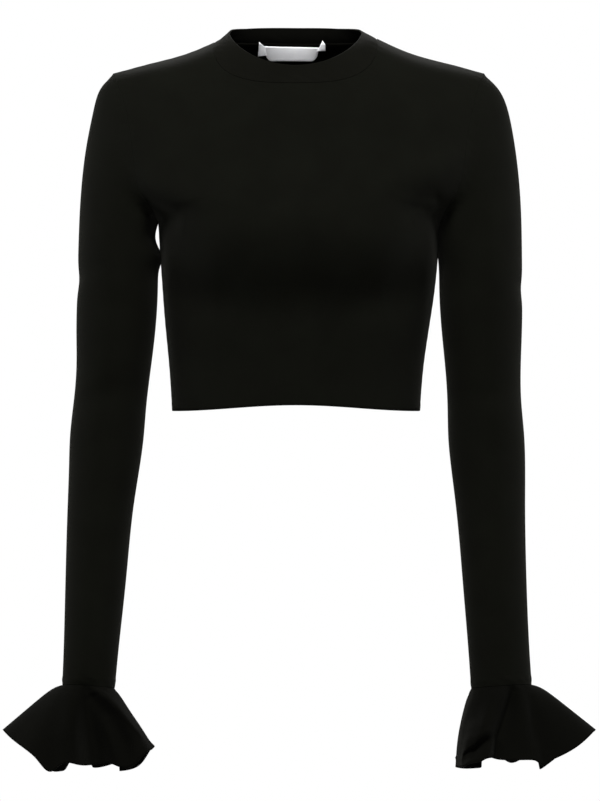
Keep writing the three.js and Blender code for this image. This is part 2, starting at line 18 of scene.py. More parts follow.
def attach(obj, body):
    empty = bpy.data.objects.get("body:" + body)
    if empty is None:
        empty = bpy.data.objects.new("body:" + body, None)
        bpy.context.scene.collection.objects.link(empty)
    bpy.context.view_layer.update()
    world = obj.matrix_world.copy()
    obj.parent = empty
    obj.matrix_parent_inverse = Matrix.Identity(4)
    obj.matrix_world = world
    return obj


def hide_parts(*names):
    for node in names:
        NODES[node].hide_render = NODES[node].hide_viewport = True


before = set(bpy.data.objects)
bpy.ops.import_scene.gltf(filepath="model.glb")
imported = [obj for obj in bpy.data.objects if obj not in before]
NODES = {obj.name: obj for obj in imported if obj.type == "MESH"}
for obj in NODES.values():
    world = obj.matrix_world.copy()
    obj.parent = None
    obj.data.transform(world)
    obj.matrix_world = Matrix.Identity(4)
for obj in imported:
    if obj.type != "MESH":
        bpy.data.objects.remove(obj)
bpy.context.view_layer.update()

MM = 0.001
MERGE = 0.01 * MM  # points closer than this are one

CAMERA_PLACE = Vector((1, -3000, -360)) * MM
LENS = 134.8  # on a 36 mm frame, so that a pixel is 1 mm at the middle of the body
SENSOR = 36

# Cloth, all in mm
CLOTH = 1.2  # thickness of the knit
BAND = 1.7  # thickness of the doubled neckband
SATIN = 0.35  # thickness of the label
CAD_WALLS = {  # the solids' walls, whose thickness shows at their rims
    "front": (1.8,), "back": (1.8,), "sleeve_right": (1.8, 2.6), "sleeve_left": (1.8, 2.6),
    "neckband": (2.4,), "frill_right": (1.8,), "frill_left": (1.8,),
}
WALL_ERROR = 0.03
ROUNDS = 3  # rounds of smooth subdivision
KEPT_CORNER = 28  # degrees; an outline that turns more than this keeps its corner

# Seams and hems, all in mm. A turned edge is a row of steps: how far inward, how far up.
SEAM_FOLD = 0.5  # the first step inward, which keeps the fold at a seam crisp
SEAM_DEEP = 2.4  # how far the cut edges turn in at a seam
HEM_LINE = -360  # the outline below this height is the hem
SIDE_LINE = 0.2  # an outline this close to Y = 0 is a side seam's
SIDE_OVERLAP = 2  # how far a side seam's allowance runs down past HEM_LINE
HEM_TURN = 12.0  # how far the hem is turned up inside
HEM_STEPS = [(0.9, -0.6), (2.1, -0.4), (2.7, 1.0), (2.7, HEM_TURN)]
SEAM_ROLL = 0.15  # how deep the cloth rolls down into a seam
ROLL_REACH = 2.2  # how far from it the roll starts
SEAM_HOLD = 9.0  # how far from it a seam still holds the cloth in
PUCKER_PLACE = 5.0  # the puckers' distance from their seam
PUCKER_REACH = 4.5
PUCKER_DEPTH = 0.22
PUCKER_TURNS = (0.31, 0.47, 0.52)  # how fast they come along X, Y and Z, in radians a mm
PUCKER_START = 1.7


# Helpers

def linear(code):
    """An sRGB hex colour as linear RGBA."""
    parts = [int(code[i:i + 2], 16) / 255 for i in (1, 3, 5)]
    values = [c / 12.92 if c <= 0.04045 else ((c + 0.055) / 1.055) ** 2.4 for c in parts]
    return (*values, 1.0)


def link(obj):
    bpy.context.scene.collection.objects.link(obj)
    return obj


def solid_tree(*nodes):
    """A search tree of the CAD solids' faces."""
    points = []
    faces = []
    for node in nodes:
        mesh = NODES[node].data
        start = len(points)
        points += [v.co.copy() for v in mesh.vertices]
        faces += [[start + i for i in p.vertices] for p in mesh.polygons]
    return BVHTree.FromPolygons(points, faces)


# Creases. Each is a path drawn from one side and laid on the cloth there. A path from the
# front is drawn as the camera sees it.

CLOTH_TREE = solid_tree(
    "front", "back", "sleeve_right", "sleeve_left", "frill_right", "frill_left")
# side: which way it faces, and which way across runs on it
LOOKS = {
    "front": (Vector((0, -1, 0)), Vector((1, 0, 0))),
    "back": (Vector((0, 1, 0)), Vector((1, 0, 0))),
    "left": (Vector((1, 0, 0)), Vector((0, 1, 0))),
    "right": (Vector((-1, 0, 0)), Vector((0, 1, 0))),
}
BESIDE = (0, 1.5, -1.5, 4, -4)


def on_cloth(side, across, up):
    """The point of the cloth seen at that place from one side, in metres, or None."""
    out, along = LOOKS[side]
    # a look that slips through a seam is tried again just beside it
    for beside in BESIDE:
        place = along * ((across + beside) * MM) + Vector((0, 0, up * MM))
        if side == "front":
            start = CAMERA_PLACE
            way = (place - start).normalized()
        else:
            start = out + place
            way = -out
        hit = CLOTH_TREE.ray_cast(start, way)[0]
        if hit is not None:
            return hit
    return None


# side, points (across, up), half width, depth (below 0 stands out as a ridge)
CREASES = [
    # wearer's right armpit: the sleeve's front tucks in over the side of the body
    ("front", [(-152, -168), (-143, -168), (-134, -172), (-124, -178)], 10, 3.2),
    ("front", [(-148, -166), (-144, -178), (-141, -194)], 7, 3.4),
    ("front", [(-152, -144), (-127, -152), (-97, -164)], 15, -3.0),
    # wearer's left armpit, deeper and higher
    ("front", [(110, -170), (122, -161), (133, -158), (140, -164)], 12, 4.0),
    ("front", [(139, -158), (140, -174), (139, -192), (138, -210)], 7, 3.6),
    ("front", [(94, -143), (131, -131), (165, -116)], 15, -3.4),
    # the bust and the hollow under it
    ("front", [(-112, -186), (-80, -192), (-46, -194)], 30, -5.0),
    ("front", [(44, -194), (80, -192), (112, -185)], 30, -5.0),
    ("front", [(-40, -180), (0, -178), (40, -180)], 30, -2.0),
    ("front", [(-124, -250), (-84, -260), (-40, -262), (2, -258), (46, -262), (90, -258),
               (126, -246)], 32, 10.5),
    ("front", [(-130, -238), (-112, -254), (-84, -260)], 26, 4.5),
    ("front", [(127, -234), (110, -251), (84, -258)], 26, 4.5),
    ("front", [(-112, -308), (-60, -312), (0, -310), (60, -312), (112, -306)], 50, 8.0),
    ("front", [(-10, -310), (-4, -340), (-6, -372)], 30, -2.5),
    # elbows
    ("front", [(-216, -361), (-193, -351), (-160, -349)], 14, 2.2),
    ("front", [(-216, -386), (-200, -380), (-184, -382)], 16, -1.2),
    ("front", [(153, -357), (181, -355), (217, -345)], 13, 1.9),
    ("front", [(176, -382), (200, -380), (220, -370)], 16, -1.0),
    ("front", [(-206, -246), (-188, -262), (-164, -270)], 15, 1.0),
    ("front", [(164, -236), (186, -250), (208, -252)], 15, 0.8),
    # right frill: a broad dark valley, under a lit fold that swings down to the right
    ("front", [(-212, -654), (-206, -680), (-202, -710), (-200, -770)], 17, 15.5),
    ("front", [(-205, -658), (-191, -676), (-177, -696), (-168, -716)], 9, 11.0),
    ("front", [(-199, -651), (-180, -667), (-163, -690)], 9, -8.0),
    ("front", [(-229, -656), (-228, -690), (-228, -740)], 10, -5.0),
    # left frill: a narrow tube-like fold between two valleys
    ("front", [(214, -653), (205, -676), (197, -698), (191, -730)], 8, 11.0),
    ("front", [(194, -656), (184, -684), (176, -714)], 9, -8.0),
    ("front", [(170, -655), (165, -685), (162, -715), (161, -745)], 8, 11.0),
    ("front", [(170, -711), (179, -706), (188, -700)], 5, 15.0),
    ("front", [(170, -699), (180, -694), (190, -690)], 5, -4.0),
    ("front", [(233, -660), (233, -690), (232, -730)], 6, 2.8),
    # the back: drag lines at the armpits, a soft hollow along the spine and at the waist
    ("back", [(-150, -150), (-132, -162), (-104, -176)], 11, 2.6),
    ("back", [(-152, -128), (-128, -138), (-92, -146)], 14, -1.6),
    ("back", [(146, -142), (128, -158), (98, -166)], 10, 3.2),
    ("back", [(148, -118), (122, -130), (86, -134)], 15, -1.8),
    ("back", [(2, -70), (-1, -150), (3, -240), (0, -330)], 26, 2.6),
    ("back", [(-118, -262), (-70, -274), (-18, -270)], 15, 2.0),
    ("back", [(24, -280), (72, -272), (120, -256)], 16, 1.7),
    ("back", [(-112, -306), (-64, -300), (-30, -308)], 12, -1.2),
    ("back", [(40, -312), (84, -304), (116, -308)], 13, -1.0),
    # the sleeves behind: slack over the elbows
    ("back", [(-214, -344), (-196, -354), (-172, -350)], 11, 1.6),
    ("back", [(-214, -322), (-192, -330), (-174, -326)], 12, -1.2),
    ("back", [(170, -338), (192, -348), (216, -342)], 12, 1.4),
    ("back", [(176, -366), (198, -372), (216, -362)], 11, 1.2),
    # the body's sides under the arms
    ("left", [(-46, -232), (-10, -250), (30, -244)], 12, 1.6),
    ("right", [(-44, -226), (-6, -240), (34, -238)], 13, 1.8),
]


def path_of(side, points):
    """The crease's points on the cloth, in mm. Past the cloth's end it keeps its depth."""
    along = LOOKS[side][1]
    path = []
    last = points[0]
    for across, up in points:
        hit = on_cloth(side, across, up)
        if hit is None:
            hit = path[-1] + along * (across - last[0]) * MM
            hit.z += (up - last[1]) * MM
        path.append(hit)
        last = (across, up)
    return np.array(path) / MM


# A crease fades to its ends as a part of a half wave does: where that part starts, how long
# it is, how blunt it makes the ends, and how much of the width they keep
TAPER_START = 0.12
TAPER_RUN = 0.76
TAPER_POWER = 0.8
END_WIDTH = 0.55


def crease_field(points):
    """How far the creases move each point, in mm. Neighbours that meet at a seam move alike."""
    moved = np.zeros_like(points)
    for side, course, width, depth in CREASE_PATHS:
        out = np.array(LOOKS[side][0])
        nearest = np.full(len(points), np.inf)
        place = np.zeros(len(points))
        total = sum(np.linalg.norm(b - a) for a, b in zip(course, course[1:]))
        run = 0.0
        for a, b in zip(course, course[1:]):
            d = b - a
            length = np.linalg.norm(d)
            t = np.clip((points - a) @ d / (length * length), 0, 1)
            gap = np.linalg.norm(points - a - t[:, None] * d, axis=1)
            closer = gap < nearest
            nearest = np.where(closer, gap, nearest)
            place = np.where(closer, (run + t * length) / total, place)
            run += length
        taper = np.sin(np.pi * (TAPER_START + TAPER_RUN * place)) ** TAPER_POWER
        reach = width * (END_WIDTH + (1 - END_WIDTH) * taper)
        shape = np.exp(-((nearest / reach) ** 2))
        moved -= out * (depth * taper * shape)[:, None]
    return moved


CREASE_PATHS = [
    (side, path_of(side, points), width, depth) for side, points, width, depth in CREASES]

# where the cloth is pressed aside: piece, or None for all, middle, reach each way, and push
PUSHES = [
    # the sleeves lean on the body below the armpits
    ("sleeve_right", (-147, -6, -181), (14, 60, 10), (4.0, 0, 0)),
    ("sleeve_right", (-145, -6, -216), (14, 60, 11), (5.6, 0, 0)),
    ("sleeve_right", (-152, -30, -172), (12, 26, 26), (4.5, -6, 0)),
    ("sleeve_left", (147, -6, -184), (14, 60, 16), (-4.0, 0, 0)),
    ("sleeve_left", (146, -6, -206), (14, 60, 17), (-4.0, 0, 0)),
    ("sleeve_left", (153, -30, -176), (14, 26, 30), (-5.5, -6, 0)),
    # full, round sleeve heads
    (None, (-192, 0, -48), (17, 60, 30), (-4.5, 0, 0.5)),
    (None, (194, 0, -62), (19, 60, 45), (4.5, 0, 0.5)),
    # the body's left side stands out a little more
    ("front", (130, 0, -270), (12, 90, 70), (1.8, 0, 0)),
    ("back", (130, 0, -270), (12, 90, 70), (1.8, 0, 0)),
    # the frills' front edges dip in lobes
    ("frill_right", (-168, -95, -702), (17, 50, 22), (0, 0, -15.0)),
    ("frill_right", (-156, -60, -694), (16, 70, 30), (3.4, 0, 2.0)),
    ("frill_right", (-145, -46, -713), (13, 24, 14), (0.5, 0, 10.0)),
    ("frill_right", (-153, -84, -701), (10, 14, 12), (0, 0, -4.0)),
    ("frill_right", (-158, -85, -704), (14, 20, 14), (0, 0, -6.0)),
    ("frill_right", (-242, -108, -708), (11, 60, 15), (0, 0, -13.0)),
    ("frill_left", (175, -95, -706), (9, 46, 15), (0, 0, -10.0)),
    ("frill_left", (164, -60, -698), (13, 70, 36), (-4.0, 0, 0)),
    ("frill_left", (164, -86, -711), (10, 22, 16), (0, 0, -7.5)),
    ("frill_left", (238, -85, -722), (5, 46, 14), (0, 0, -8.0)),
]


def pushed(node, points):
    """How far the pushes move each point of a piece, in mm."""
    moved = np.zeros_like(points)
    for piece, middle, reach, push in PUSHES:
        if piece in (None, node):
            far = np.linalg.norm((points - np.array(middle)) / np.array(reach), axis=1)
            moved += np.exp(-(far ** 2))[:, None] * np.array(push)
    return moved


# Cloth shells

def islands_of(bm):
    """The mesh's separate parts, the largest last."""
    seen = set()
    islands = []
    for face in bm.faces:
        if face in seen:
            continue
        seen.add(face)
        island = [face]
        for member in island:
            for edge in member.edges:
                for other in edge.link_faces:
                    if other not in seen:
                        seen.add(other)
                        island.append(other)
        islands.append(island)
    return sorted(islands, key=lambda faces: sum(f.calc_area() for f in faces))


def loop_from(bm, key):
    """The points of the closed edge that holds the edge point where key is least."""
    first = min((v for v in bm.verts if v.is_boundary), key=lambda v: key(v.co / MM))
    loop = [first]
    seen = {first}
    for vertex in loop:
        for edge in vertex.link_edges:
            other = edge.other_vert(vertex)
            if edge.is_boundary and other not in seen:
                seen.add(other)
                loop.append(other)
    return seen


def edge_where(bm, test):
    """The edge points that pass a test of their place in mm."""
    return {v for v in bm.verts if v.is_boundary and test(v.co / MM)}


def walk(start, members):
    """The points of a row in their order along it."""
    row = [start]
    left = set(members) - {start}
    while left:
        ahead = [e.other_vert(row[-1]) for e in row[-1].link_edges]
        ahead = [v for v in ahead if v in left]
        if not ahead:
            break
        row.append(min(ahead, key=lambda v: (v.co - row[-1].co).length))
        left.discard(row[-1])
    return row


def square_up(bm, first_row):
    """Dissolves the diagonals of a skin, row by row from one end, which leaves its squares."""
    row = first_row(bm)
    corners = [
        v for v in row
        if any(e.is_boundary and e.other_vert(v) not in row for e in v.link_edges)
    ]
    tube = not corners
    start = min(corners or row, key=lambda v: v.co.x)
    order = walk(start, row)
    used = set(order)
    diagonals = []
    while True:
        members = {v for u in order for f in u.link_faces for v in f.verts} - used
        if not members:
            break
        if tube:
            chain = walk(min(members, key=lambda v: (v.co - order[0].co).length), members)
            count = len(order)
            fits = []
            for way in (1, -1):
                for shift in range(count):
                    turned = [chain[(shift + way * i) % count] for i in range(count)]
                    run = sum((a.co - b.co).length for a, b in zip(order, turned))
                    fits.append((run, turned))
            following = min(fits, key=lambda fit: fit[0])[1]
        else:
            side = next(
                e.other_vert(order[0]) for e in order[0].link_edges
                if e.is_boundary and e.other_vert(order[0]) in members)
            following = walk(side, members)
        column = {v: i for i, v in enumerate(following)}
        for i, vertex in enumerate(order):
            for edge in vertex.link_edges:
                if column.get(edge.other_vert(vertex), i) != i:
                    diagonals.append(edge)
        used |= members
        order = following
    bmesh.ops.dissolve_edges(bm, edges=diagonals, use_verts=False)


def outer_skin(node, first_row):
    """The outer face of a CAD solid as four-sided faces."""
    bm = bmesh.new()
    bm.from_mesh(NODES[node].data)
    bmesh.ops.remove_doubles(bm, verts=bm.verts, dist=MERGE)
    walls = CAD_WALLS[node]
    rim = [
        f for f in bm.faces
        if any(abs(e.calc_length() / MM - w) < WALL_ERROR for e in f.edges for w in walls)
    ]
    bmesh.ops.delete(bm, geom=rim, context="FACES")
    kept = set(islands_of(bm)[-1])
    bmesh.ops.delete(bm, geom=[f for f in bm.faces if f not in kept], context="FACES")
    square_up(bm, first_row)
    return bm


def sharpen_corners(bm):
    """Keeps the corners of a piece's outline sharp in the smooth subdivision."""
    crease = bm.verts.layers.float.new("crease_vert")
    for vertex in bm.verts:
        ends = [e.other_vert(vertex).co - vertex.co for e in vertex.link_edges if e.is_boundary]
        if len(ends) == 2 and ends[0].angle(-ends[1]) > math.radians(KEPT_CORNER):
            vertex[crease] = 1.0


def refined(bm, name):
    """The mesh as an object, after its rounds of smooth subdivision."""
    mesh = bpy.data.meshes.new(name)
    bm.to_mesh(mesh)
    bm.free()
    obj = link(bpy.data.objects.new(name, mesh))
    finer = obj.modifiers.new("finer", "SUBSURF")
    finer.levels = ROUNDS
    finer.render_levels = ROUNDS
    finer.boundary_smooth = "ALL"
    graph = bpy.context.evaluated_depsgraph_get()
    done = bpy.data.meshes.new_from_object(obj.evaluated_get(graph))
    obj.modifiers.clear()
    obj.data = done
    done.name = name
    bpy.data.meshes.remove(mesh)
    return obj


def places(obj):
    """The mesh's points, in mm."""
    found = np.zeros(len(obj.data.vertices) * 3)
    obj.data.vertices.foreach_get("co", found)
    return found.reshape(-1, 3) / MM


def set_places(obj, points):
    obj.data.vertices.foreach_set("co", (points * MM).ravel())
    obj.data.update()


def normals(obj):
    found = np.zeros(len(obj.data.vertices) * 3)
    obj.data.vertices.foreach_get("normal", found)
    return found.reshape(-1, 3)


def edge_gaps(obj, chosen):
    """Each point's distance from the chosen part of the outline."""
    bm = bmesh.new()
    bm.from_mesh(obj.data)
    ends = chosen(bm)
    tree = KDTree(len(ends))
    for i, vertex in enumerate(ends):
        tree.insert(vertex.co, i)
    tree.balance()
    gaps = np.array([tree.find(v.co)[2] for v in bm.verts]) / MM
    bm.free()
    return gaps


def turn_in(obj, seam, hem, lean):
    """Seam allowances and hems turned to the inside, as on a sewn garment.

    lean is how far a seam allowance's cut edge lies above its seam, in mm.
    """
    bm = bmesh.new()
    bm.from_mesh(obj.data)
    bm.normal_update()
    jobs = [(seam(bm), [(SEAM_FOLD, 0.0), (SEAM_DEEP, lean)], False)]
    if hem:
        jobs.append((hem(bm), HEM_STEPS, True))
    for ends, steps, rounded in jobs:
        edges = [e for e in bm.edges if e.is_boundary and ends.issuperset(e.verts)]
        if not rounded:
            for edge in edges:
                edge.smooth = False
        base = {v: (v.co.copy(), v.normal.copy()) for e in edges for v in e.verts}
        here = {v: v for v in base}
        for inward, up in steps:
            made = bmesh.ops.extrude_edge_only(bm, edges=edges)["geom"]
            new_edges = [g for g in made if isinstance(g, bmesh.types.BMEdge) and g.is_boundary
                         and all(w in made for w in g.verts)]
            new_verts = [g for g in made if isinstance(g, bmesh.types.BMVert)]
            source = {}
            for vertex in new_verts:
                for edge in vertex.link_edges:
                    other = edge.other_vert(vertex)
                    if other in here:
                        source[vertex] = here[other]
            for vertex in new_verts:
                place, normal = base[source[vertex]]
                vertex.co = place - normal * (inward * MM) + Vector((0, 0, up * MM))
            here = source
            edges = new_edges
    bm.to_mesh(obj.data)
    bm.free()


def thicken(obj, thickness):
    """A wall under the cloth's outer face, with the cloth's reverse on its inner side."""
    wall = obj.modifiers.new("wall", "SOLIDIFY")
    wall.thickness = thickness * MM
    wall.offset = -1.0
    wall.use_rim = True
    wall.material_offset = 1


# How the knit lies on each piece: u runs across the wales and v along them, in mm

BODY_HALF = np.array([
    (-370, 124), (-330, 126.5), (-284, 131.5), (-236, 137), (-182, 141), (-165, 165),
    (-140, 184), (-100, 196), (-60, 205), (20, 209)])
ARM_MIDDLE = np.array([
    (-760, 218, -46), (-643, 208, -25), (-548, 203, -12), (-440, 195, 2), (-332, 185, 4),
    (-225, 181, 2), (-33, 181, 0)])
ARM_AROUND = 42.0  # mean radius of the sleeve
SHOULDER_TURN = -110  # height where the body starts to turn back to the shoulders
SHOULDER_RUN = 0.5  # how much longer the cloth's run is there than its height
WRIST_SEAM = -644
WRIST_RADIUS = 29.0
NECK_CENTRE = -3.5
NECK_RADIUS = 72.0  # mean radius of the neckband
NECK_WIDTH = 1.3  # how much wider than deep the neck is
BAND_OUT = 90.0
BAND_RISE = 0.4  # how much the neckband rises as it comes in
FRILL_RADIUS = 40.5  # inner radius of the frill's cut
FRILL_TURN = 4.57 / (2 * math.pi)  # how much of a full circle the cut is


def body_grain(points):
    half = np.interp(points[:, 2], BODY_HALF[:, 0], BODY_HALF[:, 1])
    u = half * np.arcsin(np.clip(points[:, 0] / half, -1, 1))
    v = points[:, 2] + SHOULDER_RUN * np.clip(points[:, 2] - SHOULDER_TURN, 0, None)
    return np.stack([u, v], 1)


def around_arm(points):
    """Each point's angle round the sleeve's middle, and its distance from it."""
    side = np.sign(points[:, 0].mean())
    x = np.interp(points[:, 2], ARM_MIDDLE[:, 0], ARM_MIDDLE[:, 1])
    y = np.interp(points[:, 2], ARM_MIDDLE[:, 0], ARM_MIDDLE[:, 2])
    out = points[:, 0] * side - x
    back = points[:, 1] - y
    return np.arctan2(back, out), np.hypot(out, back)


def sleeve_grain(points):
    angle, _ = around_arm(points)
    return np.stack([ARM_AROUND * angle, points[:, 2]], 1)


def frill_grain(points):
    angle, far = around_arm(points)
    down = np.clip(WRIST_SEAM - points[:, 2], 0, None)
    run = FRILL_RADIUS + np.hypot(np.clip(far - WRIST_RADIUS, 0, None), down)
    turn = angle * FRILL_TURN
    return np.stack([run * np.cos(turn), run * np.sin(turn)], 1)


def band_grain(points):
    across = points[:, 0] - NECK_CENTRE
    angle = np.arctan2(points[:, 1], across)
    far = np.hypot(across, points[:, 1] * NECK_WIDTH)
    return np.stack([NECK_RADIUS * angle, BAND_OUT - far + BAND_RISE * points[:, 2]], 1)


def lay_grain(obj, grain, wraps):
    """Writes the knit's coordinates to a UV map. wraps is the length round a tube, or 0."""
    mesh = obj.data
    uv = grain(places(obj))
    corners = np.zeros(len(mesh.loops), int)
    mesh.loops.foreach_get("vertex_index", corners)
    values = uv[corners]
    if wraps:
        starts = np.zeros(len(mesh.polygons), int)
        counts = np.zeros(len(mesh.polygons), int)
        mesh.polygons.foreach_get("loop_start", starts)
        mesh.polygons.foreach_get("loop_total", counts)
        for start, count in zip(starts, counts):
            part = values[start:start + count, 0]
            if part.max() - part.min() > wraps / 2:
                part[part < 0] += wraps
    layer = mesh.uv_layers.new(name="grain")
    layer.data.foreach_set("uv", values.ravel())


# A finished piece of cloth

def cloth_piece(node, look, slot, thickness, grain, wraps, start, seam, hem, puff, roll, lean):
    """One piece of the top as a shell on its solid's outer face.

    start finds the skin's first row, and seam and hem find those parts of its outline. puff is
    how far the cloth is let out away from its seams, roll how deep it rolls into them, and lean
    is as for turn_in, all in mm.
    """
    bm = outer_skin(node, start)
    if roll:
        sharpen_corners(bm)
    obj = refined(bm, node + "_cloth")
    points = places(obj)
    seam_gap = edge_gaps(obj, seam)
    # the cloth rolls down into each seam, and puckers a little along it
    fade = np.exp(-((seam_gap / ROLL_REACH) ** 2))
    x_turn, y_turn, z_turn = PUCKER_TURNS
    ripple = np.sin(points[:, 2] * z_turn + points[:, 0] * x_turn)
    ripple = ripple * np.sin(points[:, 1] * y_turn + PUCKER_START)
    pucker = np.exp(-((seam_gap - PUCKER_PLACE) / PUCKER_REACH) ** 2) * ripple
    # subdivision draws a tube in, so it is let out again away from its seams
    full = puff * (1 - np.exp(-((seam_gap / SEAM_HOLD) ** 2)))
    lift = full - roll * fade - PUCKER_DEPTH * pucker
    points = points + normals(obj) * lift[:, None]
    points = points + crease_field(points)
    points = points + pushed(node, points)
    set_places(obj, points)
    turn_in(obj, seam, hem, lean)
    lay_grain(obj, grain, wraps)
    for polygon in obj.data.polygons:
        polygon.use_smooth = True
    thicken(obj, thickness)
    obj.data.materials.clear()
    obj.data.materials.append(look)
    # the inner faces get the reverse knit, whose darker black is painted shade
    obj.data.materials.append(KNIT_REVERSE_SHADED)
    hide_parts(node)
    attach(obj, "root")
    return obj


# Materials

def add_node(tree, kind, inputs=(), **settings):
    """Adds a node with its settings; inputs pairs a socket with a value or another socket."""
    node = tree.nodes.new(kind)
    for key, value in settings.items():
        setattr(node, key, value)
    for key, value in dict(inputs).items():
        if isinstance(value, bpy.types.NodeSocket):
            tree.links.new(value, node.inputs[key])
        else:
            node.inputs[key].default_value = value
    return node


def new_material(name):
    material = bpy.data.materials.new(name)
    material.use_nodes = True
    tree = material.node_tree
    return material, tree, tree.nodes["Principled BSDF"]


def maths(tree, operation, a, b=None):
    inputs = {0: a} if b is None else {0: a, 1: b}
    return add_node(tree, "ShaderNodeMath", inputs, operation=operation).outputs[0]


# The knit's pattern. Noise scales are for metres.
LEG_SLOPE = 1.6  # how steep the two legs of a stitch stand
ROW_HEIGHT = 0.4  # how high the rows stand, against the columns
CLOUD_SCALE = 28.0  # clouds of about 36 mm
FUZZ_SCALE = 1400.0  # fuzz of about 0.7 mm
THREAD_SCALE = 420.0  # the satin's threads, about 0.75 mm apart
CLOUD_TONE = 0.4  # how much the clouds, the stitches and the fuzz change the black
STITCH_TONE = 0.16
FUZZ_TONE = 0.25
STITCH_BUMP = 0.5  # how much the stitches and the fuzz stand out
FUZZ_BUMP = 0.6


def knit_height(tree, wale, course):
    """Height of plain stitches: columns of V shapes, wale wide and course high, in mm."""
    uv = add_node(tree, "ShaderNodeUVMap", uv_map="grain").outputs["UV"]
    split = add_node(tree, "ShaderNodeSeparateXYZ", {"Vector": uv})
    u = maths(tree, "DIVIDE", split.outputs["X"], wale)
    v = maths(tree, "DIVIDE", split.outputs["Y"], course)
    across = maths(tree, "FRACT", u)
    leg = maths(tree, "ABSOLUTE", maths(tree, "SUBTRACT", across, 0.5))
    slant = maths(tree, "ADD", v, maths(tree, "MULTIPLY", leg, LEG_SLOPE))
    rows = maths(tree, "SINE", maths(tree, "MULTIPLY", slant, 2 * math.pi))
    round_leg = maths(tree, "SINE", maths(tree, "MULTIPLY", leg, 2 * math.pi))
    return maths(tree, "ADD", maths(tree, "MULTIPLY", rows, ROW_HEIGHT), round_leg)


def black_knit(name, wale, course, dark, light, sheen, gloss):
    """Fine-gauge viscose knit, dyed black: matte, with a short pale fuzz at grazing angles.

    The real stitches are about 0.9 mm wide, too fine to show, so they are drawn wider. dark and
    light are the two ends of its colour.
    """
    material, tree, shader = new_material(name)
    place = add_node(tree, "ShaderNodeTexCoord").outputs["Object"]
    # uneven dye and light pilling change the black a little over a few centimetres
    cloud = add_node(
        tree, "ShaderNodeTexNoise", {"Vector": place, "Scale": CLOUD_SCALE, "Detail": 3.0})
    fuzz = add_node(
        tree, "ShaderNodeTexNoise", {"Vector": place, "Scale": FUZZ_SCALE, "Detail": 2.0})
    height = knit_height(tree, wale, course)
    tone = maths(
        tree, "ADD", maths(tree, "MULTIPLY", cloud.outputs["Fac"], CLOUD_TONE),
        maths(tree, "MULTIPLY", height, STITCH_TONE))
    tone = maths(tree, "ADD", tone, maths(tree, "MULTIPLY", fuzz.outputs["Fac"], FUZZ_TONE))
    ramp = add_node(tree, "ShaderNodeValToRGB", {"Fac": tone})
    ramp.color_ramp.elements[0].position = 0.25
    ramp.color_ramp.elements[0].color = linear(dark)
    ramp.color_ramp.elements[1].position = 0.8
    ramp.color_ramp.elements[1].color = linear(light)
    tree.links.new(ramp.outputs["Color"], shader.inputs["Base Color"])
    rough = add_node(
        tree, "ShaderNodeMapRange",
        {"Value": fuzz.outputs["Fac"], "From Min": 0.3, "From Max": 0.7, "To Min": 0.86,
         "To Max": 0.97})
    tree.links.new(rough.outputs["Result"], shader.inputs["Roughness"])
    both = maths(
        tree, "ADD", maths(tree, "MULTIPLY", height, STITCH_BUMP),
        maths(tree, "MULTIPLY", fuzz.outputs["Fac"], FUZZ_BUMP))
    bump = add_node(tree, "ShaderNodeBump", {"Height": both, "Strength": 0.35, "Distance": 0.0004})
    tree.links.new(bump.outputs["Normal"], shader.inputs["Normal"])
    shader.inputs["Specular IOR Level"].default_value = gloss
    shader.inputs["Sheen Weight"].default_value = sheen
    shader.inputs["Sheen Roughness"].default_value = 0.38
    shader.inputs["Sheen Tint"].default_value = linear("#fffff0")
    return material


def white_satin(name):
    """Woven polyester satin: bright white, with a soft gloss across the ribbon."""
    material, tree, shader = new_material(name)
    place = add_node(tree, "ShaderNodeTexCoord").outputs["Object"]
    threads = add_node(
        tree, "ShaderNodeTexWave",
        {"Vector": place, "Scale": THREAD_SCALE, "Distortion": 0.6, "Detail": 1.0},
        bands_direction="Z")
    ramp = add_node(tree, "ShaderNodeValToRGB", {"Fac": threads.outputs["Fac"]})
    ramp.color_ramp.elements[0].color = linear("#f2f3f6")
    ramp.color_ramp.elements[1].color = linear("#fcfcfe")
    tree.links.new(ramp.outputs["Color"], shader.inputs["Base Color"])
    bump = add_node(
        tree, "ShaderNodeBump",
        {"Height": threads.outputs["Fac"], "Strength": 0.15, "Distance": 0.0001})
    tree.links.new(bump.outputs["Normal"], shader.inputs["Normal"])
    shader.inputs["Roughness"].default_value = 0.42
    shader.inputs["Sheen Weight"].default_value = 0.2
    return material


BLACK_KNIT = black_knit(
    "black_fine_knit", 1.8, 1.4, "#050503", "#0a0b07", sheen=0.015, gloss=0.0333)
BAND_KNIT = black_knit(
    "black_band_knit", 1.6, 1.3, "#050503", "#0a0a07", sheen=0.015, gloss=0.0333)
# the frills get a darker copy of the knit, with less sheen and gloss: painted shade for the weaker
# light that reaches them, low down at the wrists
FRILL_KNIT_SHADED = black_knit(
    "black_frill_knit_painted_shade", 1.7, 1.3, "#030302", "#070705", sheen=0.010, gloss=0.0225)
# the knit's reverse has its loops laid flat and hardly any fuzz, so less sheen; its darker black
# is painted shade for the inside of the top
KNIT_REVERSE_SHADED = black_knit(
    "black_knit_reverse_painted_shade", 1.8, 1.4, "#030302", "#050504", sheen=0.0033, gloss=0.0167)
WHITE_SATIN = white_satin("white_satin")


# The cloth pieces, and how each part of their outline is found

def top_loop(bm):
    return loop_from(bm, lambda p: -p.z)


def bottom_loop(bm):
    return loop_from(bm, lambda p: p.z)


def outer_loop(bm):
    return loop_from(bm, lambda p: -abs(p.x))


def hem_row(bm):
    return edge_where(bm, lambda p: p.z < HEM_LINE)


def panel_hem(bm):
    """The hem, without the side seams' own ends."""
    return edge_where(bm, lambda p: p.z < HEM_LINE and abs(p.y) > SIDE_LINE)


def panel_seams(bm):
    return edge_where(bm, lambda p: p.z > HEM_LINE - SIDE_OVERLAP)


def whole_outline(bm):
    return edge_where(bm, lambda p: True)


